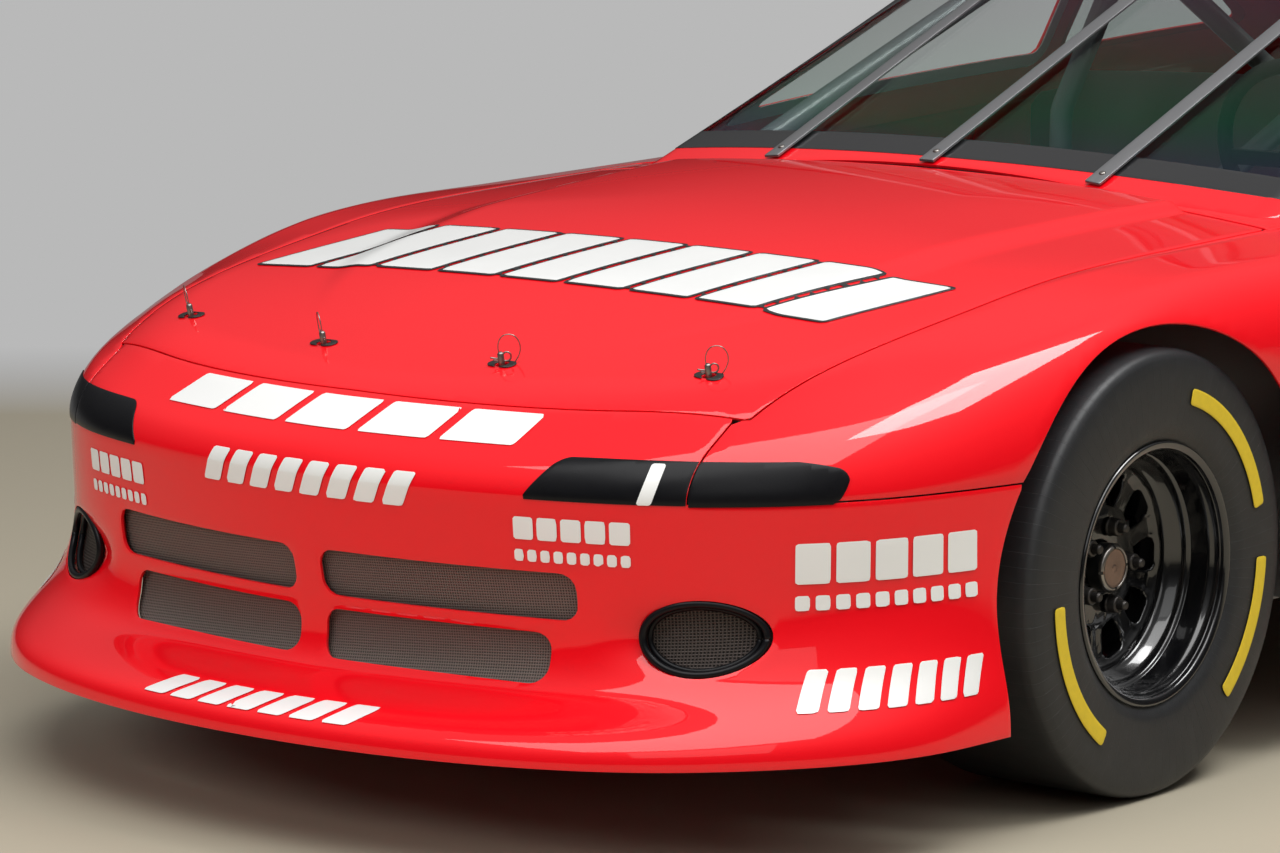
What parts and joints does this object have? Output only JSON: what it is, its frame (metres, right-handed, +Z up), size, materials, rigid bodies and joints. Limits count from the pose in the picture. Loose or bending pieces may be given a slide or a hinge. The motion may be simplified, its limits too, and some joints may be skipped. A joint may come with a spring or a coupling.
{
  "type": "stock car",
  "caption": "Closed-body racing stock car with a smooth nose, mesh grilles, slick tyres and a tube frame.",
  "frame": {"origin": "on the ground, under the middle of the wheelbase", "axes": "+Y towards the tail, +X towards the car's left side, +Z up"},
  "size_m": [1.89, 5.014, 1.2747],
  "materials": {
    "red_paint": "gloss",
    "cover_black": "satin",
    "mesh_grey": "satin",
    "tyre_rubber": "matte",
    "wheel_black": "gloss",
    "bare_steel": "satin",
    "frame_grey": "satin",
    "sheet_aluminium": "satin",
    "brace_grey": "satin",
    "clear_glazing": "gloss",
    "cast_grey": "matte",
    "seat_black": "matte",
    "rubber_black": "matte"
  },
  "bodies": {
    "root": {"nose": "red_paint", "left_fender": "red_paint", "right_fender": "red_paint", "left_door": "red_paint", "right_door": "red_paint", "left_quarter": "red_paint", "right_quarter": "red_paint", "tail": "red_paint", "roof": "red_paint", "cowl_panel": "red_paint", "deck_panel": "red_paint", "grille_screens": "mesh_grey", "headlamp_covers": "cover_black", "windshield": "clear_glazing", "rear_windows": "clear_glazing", "window_braces": "brace_grey", "chassis_frame": "frame_grey", "main_hoop": "frame_grey", "halo_bars": "frame_grey", "door_bars": "frame_grey", "rear_stays": "frame_grey", "front_arms": "frame_grey", "rear_axle": "cast_grey", "floor": "sheet_aluminium", "dashboard": "sheet_aluminium", "steering_column": "bare_steel", "seat": "seat_black", "gear_lever": "bare_steel", "engine": "cast_grey", "gearbox_and_shaft": "cast_grey", "radiator": "sheet_aluminium", "exhaust_pipes": "bare_steel", "fuel_cell": "frame_grey", "hood_pins": "bare_steel"},
    "hood": {"hood": "red_paint"},
    "deck_lid": {"deck_lid": "red_paint", "rear_spoiler": "sheet_aluminium"},
    "left_knuckle": {"left_knuckle": "cast_grey"},
    "right_knuckle": {"right_knuckle": "cast_grey"},
    "tie_rod": {"tie_rod": "bare_steel"},
    "steering_wheel": {"steering_wheel": "rubber_black"},
    "left_front_wheel": {"left_front_tyre": "tyre_rubber", "left_front_rim": "wheel_black", "left_front_hub": "bare_steel"},
    "left_rear_wheel": {"left_rear_tyre": "tyre_rubber", "left_rear_rim": "wheel_black", "left_rear_hub": "bare_steel"},
    "right_front_wheel": {"right_front_tyre": "tyre_rubber", "right_front_rim": "wheel_black", "right_front_hub": "bare_steel"},
    "right_rear_wheel": {"right_rear_tyre": "tyre_rubber", "right_rear_rim": "wheel_black", "right_rear_hub": "bare_steel"}
  },
  "joints": [
    {"name": "hood_hinge", "type": "hinge", "parent": "root", "child": "hood", "pos_m": [0, -0.797, 0.834], "axis": [-1, 0, 0], "range_deg": [0, 50]},
    {"name": "deck_lid_hinge", "type": "hinge", "parent": "root", "child": "deck_lid", "pos_m": [0, 1.553, 0.93], "axis": [1, 0, 0], "range_deg": [0, 50]},
    {"name": "left_steer", "type": "hinge", "parent": "root", "child": "left_knuckle", "pos_m": [0.64, -1.397, 0.349], "axis": [0, 0, 1], "range_deg": [-22, 22]},
    {"name": "right_steer", "type": "hinge", "parent": "root", "child": "right_knuckle", "pos_m": [-0.64, -1.397, 0.349], "axis": [0, 0, 1], "range_deg": [-22, 22]},
    {"name": "tie_rod_swing", "type": "hinge", "parent": "left_knuckle", "child": "tie_rod", "pos_m": [0.64, -1.522, 0.29], "axis": [0, 0, 1], "range_deg": [-22, 22]},
    {"name": "steering_wheel_turn", "type": "hinge", "parent": "root", "child": "steering_wheel", "pos_m": [0.34, -0.067, 0.835], "axis": [0, 0.9272, 0.3746], "range_deg": [-330, 330]},
    {"name": "left_front_wheel_spin", "type": "hinge", "parent": "left_knuckle", "child": "left_front_wheel", "pos_m": [0.755, -1.397, 0.349], "axis": [1, 0, 0], "continuous": true},
    {"name": "left_rear_wheel_spin", "type": "hinge", "parent": "root", "child": "left_rear_wheel", "pos_m": [0.755, 1.397, 0.349], "axis": [1, 0, 0], "continuous": true},
    {"name": "right_front_wheel_spin", "type": "hinge", "parent": "right_knuckle", "child": "right_front_wheel", "pos_m": [-0.755, -1.397, 0.349], "axis": [1, 0, 0], "continuous": true},
    {"name": "right_rear_wheel_spin", "type": "hinge", "parent": "root", "child": "right_rear_wheel", "pos_m": [-0.755, 1.397, 0.349], "axis": [1, 0, 0], "continuous": true}
  ],
  "couplings": [
    {"joint": "right_steer", "follows": "left_steer", "ratio": 1},
    {"joint": "tie_rod_swing", "follows": "left_steer", "ratio": -1},
    {"joint": "steering_wheel_turn", "follows": "left_steer", "ratio": 15}
  ]
}
